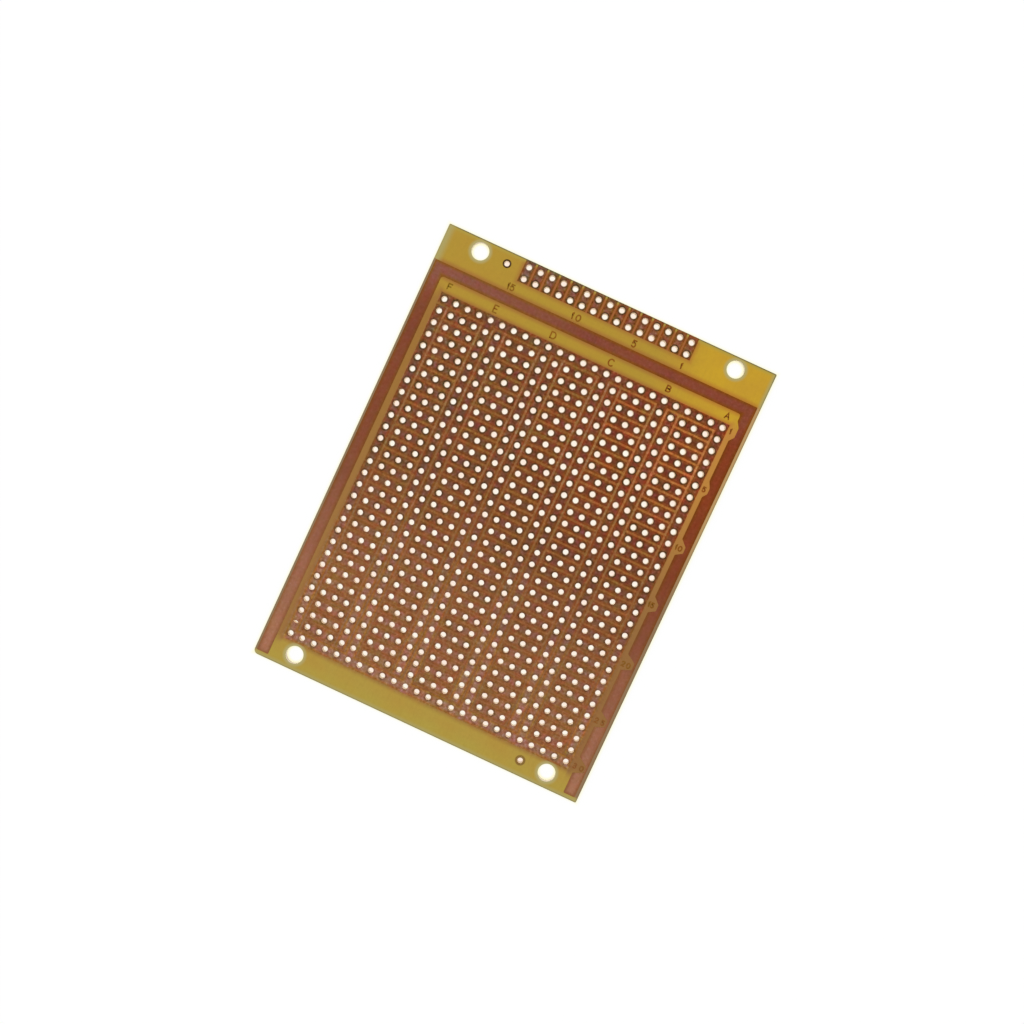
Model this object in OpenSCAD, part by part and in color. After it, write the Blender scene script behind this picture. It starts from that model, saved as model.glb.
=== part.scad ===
// Single-sided prototype board with an etched grid of soldering lands.
// It lies flat with its copper side up. +X runs along the rows of holes, +Y runs to the
// edge with the connector contacts, +Z is up. The origin is under the middle of the board.

/* [Grid] */
// Distance between neighbouring holes
pitch = 2.54; // [2:0.01:5.08]
// Number of hole rows
rows = 30; // [12:1:60]
// Number of column groups, each with two bus teeth and a column of strips between them
groups = 5; // [5:1:9]
// Holes joined by one strip
strip_holes = 3; // [3:1:6]
// Diameter of a component hole
hole_d = 1.1; // [0.8:0.02:1.4]

/* [Laminate] */
// Thickness of the sheet
board_t = 1.6; // [0.8:0.1:3.2]
// Sheet outside the outermost lands of the grid, on each side
side_room = 4.25; // [3.5:0.05:12]
// Sheet outside the last row's bus, down to the plain edge
foot_room = 5.39; // [5.1:0.01:15]
// Sheet outside the outer row of contact holes, from the hole centres
contact_margin = 1.35; // [0.8:0.05:4]
// Radius of the sheared corners
corner_r = 0.25; // [0.1:0.05:1]
// Radius of the knocked corner, beside the foot of the left leg
knocked_r = 0.95; // [0.3:0.05:1.5]

/* [Copper] */
// Thickness of the foil
foil_t = 0.035; // [0.018:0.001:0.105]
// Bare gap etched between neighbouring lands
etch_gap = 0.44; // [0.2:0.02:0.8]
// Corner radius that etching leaves on a land
etch_r = 0.2; // [0.05:0.05:0.5]
// Extra width on the outer side of the last row's bus
bus_extra = 0.3; // [0:0.1:1.5]

/* [Guard band] */
// Width of the band's two legs
band_w = 2.45; // [2:0.05:2.95]
// Width of the bar that joins the legs
bar_w = 2.55; // [2:0.05:2.95]
// Bare strip outside the left leg
left_bare = 0.43; // [0.2:0.01:1]
// Bare strip outside the right leg
right_bare = 0.68; // [0.2:0.01:1]
// Bare strip beyond the feet of both legs
foot_bare = 0.9; // [0.3:0.1:3]
// Clear height for the column letters, between the band and the first bus
letter_room = 2.9; // [2:0.1:4]
// Radius that etching leaves in the band's two inner corners
inner_r = 0.5; // [0.2:0.05:1]
// Radius that etching leaves in the deep corners of the pockets that clear the row numbers
pocket_r = 0.4; // [0.2:0.05:0.6]
// Copper left outside the pocket of a one-figure row number
web_1 = 1.75; // [0.3:0.05:1.9]
// Copper left outside the pocket of a row number from 10 to 19
web_10 = 1.1; // [0.3:0.05:1.9]
// Copper left outside the pocket of a row number from 20 up
web_20 = 0.45; // [0.3:0.05:1.9]

/* [Contacts] */
// Number of edge contacts
contacts = 15; // [3:1:16]
// Grid steps from the first row of the grid to the inner row of contact holes
contact_steps = 4; // [4:1:8]
// Foil beyond the centres of the inner row of contact holes
contact_foot = 0.8; // [0.8:0.05:1.2]

/* [Mounting and index holes] */
// Diameter of a mounting hole
mount_d = 3.6; // [2.5:0.1:4.4]
// Grid steps from the outermost column in to the mounting holes
mount_steps = 1; // [1:1:3]
// Centre of the upper mounting holes from the contact edge
mount_top = 2.5; // [2.05:0.05:3.5]
// Centre of the lower mounting holes from the plain edge
mount_foot = 3.05; // [2.5:0.05:3.5]
// Grid steps from the mounting holes in to the index holes
index_steps = 2.3; // [1.7:0.1:3]
// Width of the copper ring round an index hole
ring_w = 0.32; // [0.2:0.02:0.6]

/* [Hidden] */
$fn = 48;
cut_over = 1;
cols = groups * (strip_holes + 2);
land_w = pitch - etch_gap;
half_w = ((cols - 1) * pitch + land_w) / 2 + side_room;
grid_l = (rows - 1) * pitch;
contact_l = pitch + contact_margin + contact_foot;
top_l = (contact_steps + 1) * pitch + contact_margin;
foot_l = land_w / 2 + bus_extra + foot_room;
half_l = (top_l + grid_l + foot_l) / 2;
first_row_y = half_l - top_l;
contact_col = (cols - contacts) / 2;
band_top_y = first_row_y + land_w / 2 + letter_room + bar_w;
leg_l = band_top_y + half_l - foot_bare;
right_leg_x = half_w - right_bare;
mount_x = col_x(cols - 1 - mount_steps);
mount_top_y = half_l - mount_top;
mount_foot_y = mount_foot - half_l;
index_x = mount_x - index_steps * pitch;
// The hole that its punching slug still half blocks: its column and row, and the slit's height
blocked = [0, rows - 2];
slit_h = 0.45;
// A pocket narrows from its mouth in the leg's inner edge to its deep end. These are the reach
// of a mouth above and below its row, and of a deep end.
mouth = [2.05, 1.45];
deep_end = [0.95, 0.8];
// The pocket beside the first row is longer
first_mouth = [2.5, 1.85];
first_deep_end = [1.5, 1.1];
first_web = 1.65;
// How far in a sloping side runs to a deep corner's circle, as a share of the circle's radius
slope_touch = 0.985;
// The other numbered rows: every fifth one after the first, and the last
number_step = 5;
numbered = concat([for (r = [number_step : number_step : rows - 4]) r], [rows - 1]);

CONTACTS = [for (k = [1 : contacts]) str("contact_", k)];
STRIPS = [for (g = [1 : groups]) str("strips_", g)];

// Centre of a hole column and of a hole row
function col_x(c) = (c - (cols - 1) / 2) * pitch;
function row_y(r) = first_row_y - r * pitch;

// Round-cornered rectangle with its lower left corner at the origin
module rounded(size, r) {
    translate([r, 0]) square([size.x - 2 * r, size.y]);
    translate([0, r]) square([size.x, size.y - 2 * r]);
    for (x = [r, size.x - r], y = [r, size.y - r]) translate([x, y]) circle(r);
}

// Land that covers the holes from column c0, row r0 to column c1, row r1
module land(c0, r0, c1, r1) {
    translate([col_x(c0) - land_w / 2, row_y(r1) - land_w / 2])
        rounded([(c1 - c0) * pitch + land_w, (r1 - r0) * pitch + land_w], etch_r);
}

// One component hole, or the slit that is left of the blocked one
module hole(c, r) {
    translate([col_x(c), row_y(r)])
        if ([c, r] == blocked) slit(hole_d, slit_h);
        else circle(d = hole_d);
}

// Lens-shaped slit between two arcs
module slit(w, h) {
    arc_r = (w * w + h * h) / (4 * h);
    intersection() {
        translate([0, arc_r - h / 2]) circle(arc_r);
        translate([0, h / 2 - arc_r]) circle(arc_r);
    }
}

// Holes from column c0, row r0 to column c1, row r1
module holes(c0, r0, c1, r1) {
    for (c = [c0 : c1], r = [r0 : r1]) hole(c, r);
}

// What lies between a square corner and an arc of radius r in it, in the corner's own quadrant
module corner_sliver(r) {
    difference() {
        translate([-cut_over, -cut_over]) square(r + cut_over);
        translate([r, r]) circle(r);
    }
}

module outline() {
    difference() {
        translate([-half_w, -half_l]) square([2 * half_w, 2 * half_l]);
        translate([-half_w, -half_l]) corner_sliver(knocked_r);
        translate([half_w, -half_l]) mirror([1, 0]) corner_sliver(corner_r);
        translate([-half_w, half_l]) mirror([0, 1]) corner_sliver(corner_r);
        translate([half_w, half_l]) rotate(180) corner_sliver(corner_r);
    }
}

module laminate() {
    color([0.70, 0.59, 0.19])
        linear_extrude(board_t)
            difference() {
                outline();
                holes(0, 0, cols - 1, rows - 1);
                holes(contact_col, -contact_steps - 1, contact_col + contacts - 1, -contact_steps);
                for (x = [-mount_x, mount_x], y = [mount_top_y, mount_foot_y])
                    translate([x, y]) circle(d = mount_d);
                translate([-index_x, mount_top_y]) circle(d = hole_d);
                translate([index_x, mount_foot_y]) circle(d = hole_d);
            }
}

// Foil on the laminate's upper face
module foil() {
    color([0.56, 0.30, 0.25]) translate([0, 0, board_t]) linear_extrude(foil_t) children();
}

// Bus along one row with a tooth down every other group column
module bus(bus_row, tooth_col, r0, r1, extra) {
    foil() difference() {
        union() {
            translate([0, -extra]) land(0, bus_row, cols - 1, bus_row);
            land(0, bus_row, cols - 1, bus_row);
            for (g = [0 : groups - 1])
                land(g * (strip_holes + 2) + tooth_col, r0, g * (strip_holes + 2) + tooth_col, r1);
        }
        holes(0, bus_row, cols - 1, bus_row);
        for (g = [0 : groups - 1], r = [1 : rows - 2])
            hole(g * (strip_holes + 2) + tooth_col, r);
    }
}

module first_row_bus() {
    bus(0, strip_holes + 1, 0, rows - 2, 0);
}

module last_row_bus() {
    bus(rows - 1, 0, 1, rows - 1, bus_extra);
}

// Strips of one column group, one for each row between the two buses
module strips(g) {
    c0 = g * (strip_holes + 2) + 1;
    c1 = c0 + strip_holes - 1;
    for (r = [1 : rows - 2])
        foil() difference() {
            land(c0, r, c1, r);
            holes(c0, r, c1, r);
        }
}

// Contact k, counted from the right as it is numbered on the board
module contact(k) {
    c = contact_col + contacts - k;
    foil() difference() {
        translate([col_x(c) - land_w / 2, half_l - contact_l]) square([land_w, contact_l]);
        holes(c, -contact_steps - 1, c, -contact_steps);
    }
}

// Copper left outside the pocket beside a row, which is deeper for a wider number
function web(row) = row < 10 ? web_1 : row < 20 ? web_10 : web_20;

// Point where a sloping side from p meets the circle of a deep corner at c, above or below it
function slope_end(p, c, above) =
    let (v = p - c, r = slope_touch * pocket_r, a = atan2(v.y, v.x) - above * acos(r / norm(v)))
    c + r * [cos(a), sin(a)];

// Clear shape in the right leg round a row number
module pocket(row, web, mouth, end) {
    high = [-web - pocket_r, end[0] - pocket_r];
    low = [-web - pocket_r, pocket_r - end[1]];
    lips = [[-band_w, mouth[0]], [-band_w, -mouth[1]]];
    translate([right_leg_x, row_y(row)]) {
        polygon([lips[0] - [cut_over, 0], lips[0], slope_end(lips[0], high, 1),
                 slope_end(lips[1], low, -1), lips[1], lips[1] - [cut_over, 0]]);
        for (c = [high, low]) translate(c) circle(pocket_r);
        translate(low) square([pocket_r, high.y - low.y]);
    }
}

module guard_band() {
    left_leg_x = left_bare - half_w;
    inner_y = band_top_y - bar_w;
    foil() difference() {
        union() {
            translate([left_leg_x, inner_y]) rounded([right_leg_x - left_leg_x, bar_w], etch_r);
            for (x = [left_leg_x, right_leg_x - band_w])
                translate([x, band_top_y - leg_l]) rounded([band_w, leg_l], etch_r);
            translate([left_leg_x + band_w, inner_y]) mirror([0, 1]) corner_sliver(inner_r);
            translate([right_leg_x - band_w, inner_y]) rotate(180) corner_sliver(inner_r);
        }
        pocket(0, first_web, first_mouth, first_deep_end);
        for (row = numbered) pocket(row, web(row), mouth, deep_end);
    }
}

module index_ring(x, y) {
    foil() translate([x, y]) difference() {
        circle(d = hole_d + 2 * ring_w);
        circle(d = hole_d);
    }
}

laminate();
guard_band();
first_row_bus();
last_row_bus();
for (g = [1 : groups]) strips(g - 1);
for (k = [1 : contacts]) contact(k);
index_ring(-index_x, mount_top_y);  // index_ring_top
index_ring(index_x, mount_foot_y);  // index_ring_foot
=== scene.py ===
# %% [markdown]
# # A prototype board, copper side up
# This lesson dresses a small circuit board: an amber resin laminate with a thin foil of copper
# etched into a grid of soldering lands. The board's shape is already made, so it is loaded as a
# fixed frame and nothing in it moves. The lesson adds the look: the amber of the resin, the
# tarnish of bare copper, dark rims round the punched holes, the etched index letters and
# numbers, and the studio.

# %% Load the board
import math

import bmesh
import bpy
from mathutils import Matrix, Vector


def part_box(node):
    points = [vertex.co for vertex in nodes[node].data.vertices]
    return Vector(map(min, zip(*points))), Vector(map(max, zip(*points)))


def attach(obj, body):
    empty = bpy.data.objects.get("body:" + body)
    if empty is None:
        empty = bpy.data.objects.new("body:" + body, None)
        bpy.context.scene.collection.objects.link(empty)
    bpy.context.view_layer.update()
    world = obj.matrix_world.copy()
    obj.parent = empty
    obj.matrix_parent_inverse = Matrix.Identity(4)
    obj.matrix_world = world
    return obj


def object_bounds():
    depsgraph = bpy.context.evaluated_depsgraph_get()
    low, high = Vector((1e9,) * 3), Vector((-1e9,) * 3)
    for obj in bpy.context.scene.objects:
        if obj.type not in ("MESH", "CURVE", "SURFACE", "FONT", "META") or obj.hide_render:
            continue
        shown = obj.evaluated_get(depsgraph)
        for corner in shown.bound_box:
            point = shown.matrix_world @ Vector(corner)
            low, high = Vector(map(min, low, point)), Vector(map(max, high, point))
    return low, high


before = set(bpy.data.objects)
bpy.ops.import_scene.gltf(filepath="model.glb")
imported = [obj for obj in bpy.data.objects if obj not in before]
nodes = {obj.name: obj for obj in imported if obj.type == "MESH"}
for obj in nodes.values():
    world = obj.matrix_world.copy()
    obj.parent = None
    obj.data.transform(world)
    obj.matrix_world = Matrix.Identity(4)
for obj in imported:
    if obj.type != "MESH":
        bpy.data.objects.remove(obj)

cad_low, cad_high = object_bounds()
print("pieces of the board:", len(nodes))
print("board in mm:", [round(1000 * side, 3) for side in cad_high - cad_low])

# %% [markdown]
# ## The board's own measures
# Nearly everything here sits on one square grid of holes, a tenth of an inch apart. Places
# typed in by hand would go wrong as soon as the board changed, so the size of a land and the
# place of the first hole are read from the boxes of the loaded pieces. Only the pitch and the
# round holes are written down, because no box tells them.

# %% Read the grid from the pieces
MM = 0.001
PITCH = 2.54 * MM
strip_low, strip_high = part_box("strips_1")
LAND = strip_high.x - strip_low.x - 2 * PITCH
bus_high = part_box("first_row_bus")[1]
foot_bus_low, foot_bus_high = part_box("last_row_bus")
FIRST_COLUMN_X = foot_bus_low.x + LAND / 2
FIRST_ROW_Y = bus_high.y - LAND / 2
COLUMNS = 1 + round((bus_high.x - foot_bus_low.x - LAND) / PITCH)
ROWS = 1 + round((FIRST_ROW_Y - foot_bus_low.y - LAND / 2) / PITCH)
SHEET_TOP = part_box("laminate")[1].z
FOIL_TOP = cad_high.z
HALF_WIDTH, HALF_LENGTH = cad_high.x, cad_high.y
HOLE_RADIUS = 0.55 * MM
MOUNT_RADIUS = 1.8 * MM
MOUNT_TOP_Y, MOUNT_FOOT_Y = HALF_LENGTH - 2.5 * MM, 3.05 * MM - HALF_LENGTH
BLOCKED_COLUMN, BLOCKED_ROW = 0, ROWS - 2
print("land", round(LAND / MM, 3), "mm;", COLUMNS, "columns and", ROWS, "rows")


def column_x(column):
    return FIRST_COLUMN_X + column * PITCH


def row_y(row):
    return FIRST_ROW_Y - row * PITCH


# %% [markdown]
# ## Camera
# A flat board is best shown from nearly straight above. The camera stands 30 cm over it,
# close enough that holes away from the middle are seen a little from the side, which tells
# the eye that the sheet has a thickness. It is rolled, so its three axes are built by hand.

# %% Place the camera
CAMERA_AT = Vector((3.43, 11.77, 296.82)) * MM
AIM_AT = Vector((-0.39, 0.36, 1.635)) * MM
CAMERA_ROLL = math.radians(24.93)


def place_in_scene(name, data):
    """A new object, linked to the scene."""
    new_object = bpy.data.objects.new(name, data)
    bpy.context.scene.collection.objects.link(new_object)
    return new_object


camera = place_in_scene("camera", bpy.data.cameras.new("camera"))
camera.data.sensor_width = 36
camera.data.lens = 52
camera.data.clip_start = 0.01
ahead = (AIM_AT - CAMERA_AT).normalized()
right = ahead.cross(Vector((0, 1, 0))).normalized()
above = right.cross(ahead)
rolled_right = math.cos(CAMERA_ROLL) * right + math.sin(CAMERA_ROLL) * above
rolled_above = math.cos(CAMERA_ROLL) * above - math.sin(CAMERA_ROLL) * right
camera.matrix_world = Matrix.Translation(CAMERA_AT) @ Matrix(
    (rolled_right, rolled_above, -ahead)).transposed().to_4x4()
bpy.context.scene.camera = camera
print("camera distance in mm:", round((AIM_AT - CAMERA_AT).length / MM))

# %% [markdown]
# ## Small helpers for node trees
# A material is a graph, and typing every node and link hides the idea behind it. These
# helpers make one node and hand back its output, so a formula reads like a formula. A value
# may be a plain number, a colour or another node's output.


# %% Helpers that make nodes
def feed(tree, value, socket):
    """Link a node's output to a socket, or set the socket to a plain value."""
    if isinstance(value, bpy.types.NodeSocket):
        tree.links.new(value, socket)
    elif value is not None:
        socket.default_value = value


def calc(tree, operation, *values):
    node = tree.nodes.new("ShaderNodeMath")
    node.operation = operation
    for value, socket in zip(values, node.inputs):
        feed(tree, value, socket)
    return node.outputs[0]


def chain(tree, operation, first, *others):
    """One result from many values, such as their product or the largest of them."""
    for other in others:
        first = calc(tree, operation, first, other)
    return first


def way(tree, across, down):
    """How long the straight way is that goes this far across and this far down."""
    return calc(tree, "SQRT", calc(tree, "ADD", calc(tree, "POWER", across, 2.0),
                                   calc(tree, "POWER", down, 2.0)))


def axes(tree, place):
    """The X, Y and Z of a place, each as a number."""
    node = tree.nodes.new("ShaderNodeSeparateXYZ")
    feed(tree, place, node.inputs[0])
    return node.outputs


def rise(tree, value, start, end, low=0.0, high=1.0):
    """A smooth step from low to high while value goes from start to end."""
    node = tree.nodes.new("ShaderNodeMapRange")
    node.interpolation_type = "SMOOTHSTEP"
    for given, name in ((value, "Value"), (start, "From Min"), (end, "From Max"),
                        (low, "To Min"), (high, "To Max")):
        feed(tree, given, node.inputs[name])
    return node.outputs["Result"]


def mix(tree, share, first, second, how="MIX"):
    node = tree.nodes.new("ShaderNodeMix")
    node.data_type, node.blend_type = "RGBA", how
    feed(tree, share, node.inputs[0])
    feed(tree, first, node.inputs[6])
    feed(tree, second, node.inputs[7])
    return node.outputs[2]


def noise(tree, place, scale, detail=2.0, roughness=0.5, stretch=(1, 1, 1)):
    """Noise with features about 1/scale metres wide, about 0.5 on average."""
    mapping = tree.nodes.new("ShaderNodeMapping")
    mapping.inputs["Scale"].default_value = stretch
    feed(tree, place, mapping.inputs["Vector"])
    node = tree.nodes.new("ShaderNodeTexNoise")
    feed(tree, mapping.outputs[0], node.inputs["Vector"])
    node.inputs["Scale"].default_value = scale
    node.inputs["Detail"].default_value = detail
    node.inputs["Roughness"].default_value = roughness
    return node.outputs["Fac"]


print("helpers made: feed, calc, chain, way, axes, rise, mix and noise")

# %% [markdown]
# ## Colours, and effects that finishes share
# Shaders work in linear light, so a colour chosen by eye is converted first. An effect that
# more than one finish needs goes into a node group with named sockets: it is built once, and
# each material gives it values of its own.


# %% Colours and groups
def tone(red, green, blue):
    """A colour as it reads on a screen, 0 to 255, in the linear values that shaders use."""
    return tuple((c / 255 / 12.92) if c <= 10 else ((c / 255 + 0.055) / 1.055) ** 2.4
                 for c in (red, green, blue)) + (1.0,)


SOCKETS = {"number": "NodeSocketFloat", "colour": "NodeSocketColor",
           "place": "NodeSocketVector"}


def new_group(name, takes, gives):
    """A node group with named sockets; returns its tree, its inputs and its outputs."""
    tree = bpy.data.node_groups.new(name, "ShaderNodeTree")
    for direction, sockets in (("INPUT", takes), ("OUTPUT", gives)):
        for label, kind in sockets.items():
            tree.interface.new_socket(label, in_out=direction, socket_type=SOCKETS[kind])
    inside, outside = tree.nodes.new("NodeGroupInput"), tree.nodes.new("NodeGroupOutput")
    return tree, inside.outputs, outside.inputs


def use_group(tree, group, **values):
    """Place a group in a tree. A space in a socket's name is written as an underscore."""
    node = tree.nodes.new("ShaderNodeGroup")
    node.node_tree = group
    for label, value in values.items():
        feed(tree, value, node.inputs[label.replace("_", " ")])
    return node.outputs


print("half grey in linear light:", round(tone(128, 128, 128)[0], 3))

# %% [markdown]
# ## Where on the board am I?
# Hole rims, the lands' edges and the bare gaps all repeat with the grid. A picture of them
# would blur close up. Object coordinates are metres on the real board, so arithmetic finds the
# nearest hole at any point, sharp at every distance. The group gives the column and row with
# fractions, the millimetres to the nearest hole's centre, and a chance number for each hole.

# %% The hole grid as a node group
hole_grid, given, made = new_group(
    "hole grid", {"Place": "place"},
    {"Column": "number", "Row": "number", "Hole distance": "number", "Hole chance": "number"})
tree, place = hole_grid, given["Place"]
at = axes(tree, place)
column = calc(tree, "DIVIDE", calc(tree, "SUBTRACT", at["X"], FIRST_COLUMN_X), PITCH)
row = calc(tree, "DIVIDE", calc(tree, "SUBTRACT", FIRST_ROW_Y, at["Y"]), PITCH)
near_column, near_row = (calc(tree, "ROUND", value) for value in (column, row))
distance = way(tree, calc(tree, "SUBTRACT", column, near_column),
               calc(tree, "SUBTRACT", row, near_row))
feed(tree, column, made["Column"])
feed(tree, row, made["Row"])
feed(tree, calc(tree, "MULTIPLY", distance, PITCH / MM), made["Hole distance"])
joined = tree.nodes.new("ShaderNodeCombineXYZ")
feed(tree, near_column, joined.inputs["X"])
feed(tree, near_row, joined.inputs["Y"])
chance = tree.nodes.new("ShaderNodeTexWhiteNoise")
chance.noise_dimensions = "3D"
feed(tree, joined.outputs[0], chance.inputs["Vector"])
feed(tree, chance.outputs["Value"], made["Hole chance"])
print("group made:", hole_grid.name)

# %% [markdown]
# ## How deep inside a shape am I?
# Foil is a little browner along its etched edges, so a material needs the distance from the
# nearest edge. Nearly all the foil is made of upright rectangles, and one group answers for
# one of them. Two rectangles that join take the larger answer.

# %% Depth inside a rectangle
bar_depth, given, made = new_group(
    "depth inside a bar",
    {"Place": "place", "Centre X": "number", "Centre Y": "number",
     "Half width": "number", "Half height": "number"},
    {"Depth": "number"})
tree, place = bar_depth, given["Place"]
at = axes(tree, place)
sides = []
for axis, centre, half in (("X", "Centre X", "Half width"), ("Y", "Centre Y", "Half height")):
    away = calc(tree, "ABSOLUTE", calc(tree, "SUBTRACT", at[axis], given[centre]))
    sides.append(calc(tree, "SUBTRACT", given[half], away))
feed(tree, calc(tree, "DIVIDE", calc(tree, "MINIMUM", *sides), MM), made["Depth"])
print("group made:", bar_depth.name)


def depth_in_bar(tree, place, low_x, low_y, high_x, high_y):
    return use_group(tree, bar_depth, Place=place,
                     Centre_X=(low_x + high_x) / 2, Centre_Y=(low_y + high_y) / 2,
                     Half_width=(high_x - low_x) / 2, Half_height=(high_y - low_y) / 2)["Depth"]


# %% [markdown]
# ## One hole is not like the others
# One hole of the first column is still half full of resin, so only a slit is open. It has no
# dark rim, and the resin round it lights the slit, so copper and laminate need its place.

# %% Find the half-blocked hole
def at_blocked_hole(tree, grid):
    """1 at the one hole that is still half full of resin, 0 elsewhere."""
    away = [calc(tree, "ABSOLUTE", calc(tree, "SUBTRACT", grid[axis], centre))
            for axis, centre in (("Column", BLOCKED_COLUMN), ("Row", BLOCKED_ROW))]
    return rise(tree, calc(tree, "MAXIMUM", *away), 0.45, 0.4)


print("half-blocked hole: column", BLOCKED_COLUMN, "and row", BLOCKED_ROW)

# %% [markdown]
# ## Slow changes across the board
# No old board is one colour. This one is paler and pinker towards its plain edge, and darker
# and more orange in the corner of the first row and the last column. One group gives both
# slow masks, a soft cloud, and the row and column that they hang on. Noise pushes those two
# about by a couple of steps, so no change ends on a ruled line.

# %% Slow masks shared by every finish
slow_change, given, made = new_group(
    "slow change over the board", {"Place": "place"},
    {"Column": "number", "Row": "number", "Foot": "number", "Warm": "number",
     "Cloud": "number"})
tree, place = slow_change, given["Place"]
grid = use_group(tree, hole_grid, Place=place)
WANDER = 5.0
wander = calc(tree, "MULTIPLY", calc(tree, "SUBTRACT", noise(tree, place, 45.0), 0.5), WANDER)
slow_row = calc(tree, "ADD", grid["Row"], wander)
slow_column = calc(tree, "ADD", grid["Column"], wander)
feed(tree, slow_row, made["Row"])
feed(tree, slow_column, made["Column"])
slanted_row = calc(tree, "SUBTRACT", slow_row, calc(tree, "MULTIPLY", slow_column, 0.1))
feed(tree, rise(tree, slanted_row, 9.0, 27.5), made["Foot"])
feed(tree, calc(tree, "MULTIPLY", rise(tree, slow_column, 2.0, 22.0),
                rise(tree, slow_row, 22.0, 4.0)), made["Warm"])
feed(tree, noise(tree, place, 130.0, 3.0), made["Cloud"])
print("group made:", slow_change.name)

# %% [markdown]
# ## A mottle that ignores the etching
# Handling marks, flux and dust lie over foil and resin alike. With spots of its own, every
# land would look like a framed tile. So one mottle is shared: fine light and dark grains, and
# larger blots that lean to red or to green and run on from a land across the gap.

# %% The mottle group
mottle, given, made = new_group(
    "mottle", {"Place": "place", "Colour": "colour", "Grains": "number", "Blots": "number"},
    {"Colour": "colour", "Grain": "number"})
tree, place = mottle, given["Place"]
grain = noise(tree, place, 1700.0, 2.0, 0.6)
small_blots = noise(tree, place, 800.0, 1.5, 0.6)
large_blots = noise(tree, place, 380.0, 3.0, 0.6)
yellow_blots = noise(tree, place, 560.0, 2.0, 0.6, (1.0, 1.0, 3.0))
spotted = given["Colour"]
fresh = rise(tree, use_group(tree, slow_change, Place=place)["Row"], 5.0, 20.0, 1.0, 0.68)
for mask, low, high, strength, tint in (
        (grain, 0.50, 0.74, "Grains", (1.46, 1.85, 2.80)),
        (grain, 0.50, 0.26, "Grains", (0.63, 0.47, 0.28)),
        (small_blots, 0.50, 0.70, "Blots", (1.11, 0.85, 0.97)),
        (small_blots, 0.50, 0.30, "Blots", (0.90, 1.14, 0.97)),
        (large_blots, 0.50, 0.70, "Blots", (0.91, 1.11, 0.90)),
        (large_blots, 0.50, 0.30, "Blots", (1.09, 0.89, 1.02)),
        (yellow_blots, 0.50, 0.70, "Blots", (1.04, 1.03, 0.70)),
        (yellow_blots, 0.50, 0.30, "Blots", (0.97, 0.98, 1.25))):
    share = chain(tree, "MULTIPLY", rise(tree, mask, low, high), given[strength], fresh)
    spotted = mix(tree, share, spotted, (*tint, 1.0), "MULTIPLY")
feed(tree, spotted, made["Colour"])
feed(tree, grain, made["Grain"])
print("group made:", mottle.name)

# %% [markdown]
# ## Copper that has been bare for years
# Tarnished copper is still a metal, and a painted brown would look dead from the side. So the
# shader is metallic, and the tarnish only changes its tint and its polish. The middle of each
# land is a purplish brown and its edges are browner. The whole effect is one group, placed in
# each copper with its own colours.

# %% The tarnish group: its body
tarnish, given, made = new_group(
    "copper tarnish",
    {"Place": "place", "Depth": "number", "Heart": "colour", "Heart at foot": "colour",
     "Edge": "colour", "Edge at foot": "colour", "Warm heart": "colour",
     "Warm edge": "colour", "Edge width": "number", "Rims": "number", "Spots": "number"},
    {"Colour": "colour", "Roughness": "number", "Height": "number"})
tree, place = tarnish, given["Place"]
slow = use_group(tree, slow_change, Place=place)
grid = use_group(tree, hole_grid, Place=place)
heart, edge = (mix(tree, slow["Warm"],
                   mix(tree, slow["Foot"], given[part], given[part + " at foot"]),
                   given["Warm " + part.lower()]) for part in ("Heart", "Edge"))
body = mix(tree, rise(tree, given["Depth"], 0.0, given["Edge width"]), edge, heart)
brushing = noise(tree, place, 900.0, 3.0, 0.6, (4.0, 0.25, 1.0))
for mask, low, high, share, tint in (
        (slow["Cloud"], 0.50, 0.75, 0.6, (0.84, 0.82, 0.92)),
        (slow["Cloud"], 0.50, 0.25, 0.6, (1.14, 1.16, 1.06)),
        (brushing, 0.50, 0.85, 0.5, (0.70, 0.72, 0.78))):
    body = mix(tree, rise(tree, mask, low, high, 0.0, share), body, (*tint, 1.0), "MULTIPLY")
spots = use_group(tree, mottle, Place=place, Colour=body, Grains=given["Spots"],
                  Blots=given["Spots"])
body = spots["Colour"]
print("group begun:", tarnish.name)

# %% [markdown]
# ## Rims round the holes
# The punch dragged the foil's edge down into each hole, and its dark ring is painted shade of
# that sunken edge. Width and strength go by chance, and fade towards the plain edge. Near the
# contact edge a thin pale line inside the ring is a painted highlight on the hole's lip.

# %% The tarnish group: its rims
from_rim = calc(tree, "SUBTRACT", grid["Hole distance"], HOLE_RADIUS / MM)
ring_end = rise(tree, grid["Hole chance"], 0.0, 1.0, 0.62, 0.48)
# Painted shade: a dark ring where the foil's edge drops into each hole.
rim_shade = chain(tree, "MULTIPLY", rise(tree, from_rim, 0.02, 0.18, 0.4, 1.0),
            rise(tree, from_rim, 0.2, ring_end, 1.0, 0.0), given["Rims"],
            rise(tree, at_blocked_hole(tree, grid), 0.0, 1.0, 1.0, 0.0),
            rise(tree, slow["Row"], 4.0, 26.0, 0.95, 0.48),
            rise(tree, grid["Hole chance"], 0.0, 1.0, 0.45, 1.2),
            rise(tree, spots["Grain"], 0.3, 0.6, 1.0, 0.65))
# Painted highlight: a thin pale line on the hole's lip, inside the dark ring.
lip_highlight = chain(tree, "MULTIPLY", rise(tree, from_rim, 0.14, 0.04), given["Rims"],
             rise(tree, slow["Row"], 18.0, 6.0),
             rise(tree, slow["Column"], 2.0, 16.0, 0.3, 0.9))
body = mix(tree, rim_shade, body, tone(58, 44, 20))
feed(tree, mix(tree, lip_highlight, body, tone(196, 172, 140)), made["Colour"])
feed(tree, rise(tree, spots["Grain"], 0.3, 0.8, 0.42, 0.60), made["Roughness"])
feed(tree, calc(tree, "ADD", brushing, calc(tree, "MULTIPLY", spots["Grain"], 0.6)),
     made["Height"])
print("group made:", tarnish.name, "with", len(tarnish.nodes), "nodes")

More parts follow.
